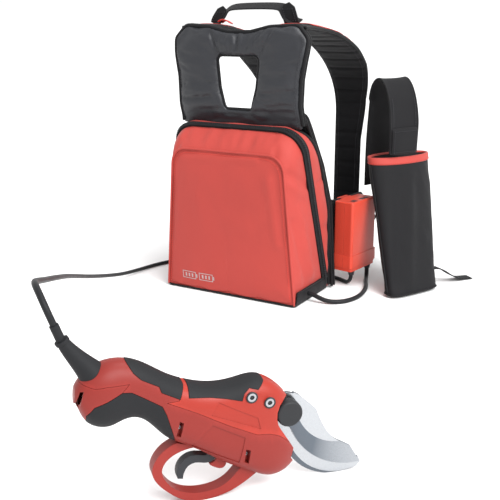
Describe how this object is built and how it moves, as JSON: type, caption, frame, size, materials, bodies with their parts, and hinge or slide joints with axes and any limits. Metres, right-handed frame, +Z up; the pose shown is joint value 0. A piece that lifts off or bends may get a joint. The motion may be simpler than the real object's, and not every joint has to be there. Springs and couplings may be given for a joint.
{
  "type": "battery electric pruner",
  "caption": "Electric hand pruner on a power cord, with its battery backpack, harness, belt controller and holster.",
  "frame": {"origin": "middle of the bag's base, on the surface that the object stands on", "axes": "+Z up, +Y from the bag towards the wearer's back, +X towards the wearer's right hand"},
  "size_m": [0.6663, 1.0312, 0.5063],
  "materials": {
    "red_casing": "satin moulded plastic",
    "red_cover": "glossy moulded plastic",
    "dark_rubber": "matt overmould",
    "black_plastic": "fine texture",
    "blade_steel": "ground and polished",
    "plated_steel": "bright plated",
    "bronze": "sintered",
    "frame_alloy": "die cast",
    "motor_steel": "zinc plated",
    "board_green": "solder mask",
    "controller_red": "satin moulded plastic",
    "red_fabric": "coated woven",
    "black_fabric": "padded satin weave",
    "black_webbing": "woven webbing",
    "cord_jacket": "matt"
  },
  "bodies": {
    "pack": {"bag_front": "red_fabric", "zip_track": "black_webbing", "bag_rear": "red_fabric", "bag_base": "black_fabric", "back_panel": "black_fabric", "zip_sliders": "black_plastic", "battery_holder": "black_plastic", "battery_left": "black_plastic", "battery_right": "black_plastic", "yoke": "black_fabric", "shoulder_strap_right": "black_fabric", "shoulder_strap_left": "black_fabric", "carry_handle": "black_webbing", "waist_belt_right": "black_fabric", "waist_belt_left": "black_fabric", "waist_buckle": "black_plastic", "belt_tail": "black_webbing", "holster_shell": "black_fabric", "holster_rim": "red_fabric", "holster_flap": "black_fabric", "controller_front": "controller_red", "controller_back": "controller_red", "cable_glands": "black_plastic", "controller_board": "board_green", "pruner_cable_b": "cord_jacket", "battery_cable": "cord_jacket"},
    "pruner": {"casing_right": "red_casing", "casing_left": "red_casing", "head_cover": "red_cover", "tail_cap": "red_cover", "grip_pad_right": "dark_rubber", "grip_pad_left": "dark_rubber", "top_grip_rear": "dark_rubber", "top_grip_front": "dark_rubber", "trigger_guard": "red_casing", "hook_blade": "blade_steel", "pivot_bushing": "bronze", "pivot_bolt": "plated_steel", "pivot_cap": "black_plastic", "motor_can": "motor_steel", "gearbox_housing": "frame_alloy", "screw_bearing": "plated_steel", "head_frame": "frame_alloy", "trigger_pin": "plated_steel", "trigger_spring": "plated_steel", "trigger_sensor": "black_plastic", "drive_board": "board_green", "head_bolts": "plated_steel", "casing_screws": "plated_steel", "cable_boot": "dark_rubber", "pruner_cable_a": "cord_jacket"},
    "blade": {"cutting_blade": "blade_steel"},
    "nut": {"ball_nut": "motor_steel"},
    "screw": {"ball_screw": "plated_steel"},
    "rotor": {"motor_rotor": "motor_steel"},
    "trigger_lever": {"trigger": "black_plastic", "trigger_catch": "red_cover"},
    "power_key": {"power_button": "black_plastic"},
    "down_key": {"level_down_button": "black_plastic"},
    "up_key": {"level_up_button": "black_plastic"}
  },
  "joints": [
    {"name": "pruner_lift", "type": "slide", "parent": "pack", "child": "pruner", "axis": [0, 0, 1], "range_m": [0, 0.25]},
    {"name": "blade_pivot", "type": "hinge", "parent": "pruner", "child": "blade", "pos_m": [0.37259, -0.56883, 0.0885], "axis": [0.7431, -0.6691, 0], "range_deg": [0, 50]},
    {"name": "nut_slide", "type": "slide", "parent": "pruner", "child": "nut", "axis": [0.6064, 0.6735, -0.4226], "range_m": [0, 0.0187]},
    {"name": "screw_spin", "type": "hinge", "parent": "pruner", "child": "screw", "pos_m": [0.36636, -0.57574, 0.06856], "axis": [-0.6064, -0.6735, 0.4226], "range_deg": [0, 840]},
    {"name": "rotor_spin", "type": "hinge", "parent": "pruner", "child": "rotor", "pos_m": [0.36636, -0.57574, 0.06856], "axis": [-0.6064, -0.6735, 0.4226], "range_deg": [0, 2520]},
    {"name": "trigger_pull", "type": "hinge", "parent": "pruner", "child": "trigger_lever", "pos_m": [0.32207, -0.62494, 0.058], "axis": [-0.7431, 0.6691, 0], "range_deg": [0, 12], "stiffness_Nm_per_rad": 0.4},
    {"name": "power_press", "type": "slide", "parent": "pack", "child": "power_key", "axis": [0, 0, -1], "range_m": [0, 0.0008], "stiffness_N_per_m": 400},
    {"name": "level_down_press", "type": "slide", "parent": "pack", "child": "down_key", "axis": [0, 0, -1], "range_m": [0, 0.0008], "stiffness_N_per_m": 400},
    {"name": "level_up_press", "type": "slide", "parent": "pack", "child": "up_key", "axis": [0, 0, -1], "range_m": [0, 0.0008], "stiffness_N_per_m": 400}
  ],
  "couplings": [
    {"joint": "nut_slide", "follows": "blade_pivot", "m_per_rad": 0.021309},
    {"joint": "screw_spin", "follows": "blade_pivot", "ratio": 16.736},
    {"joint": "rotor_spin", "follows": "blade_pivot", "ratio": 50.2}
  ]
}
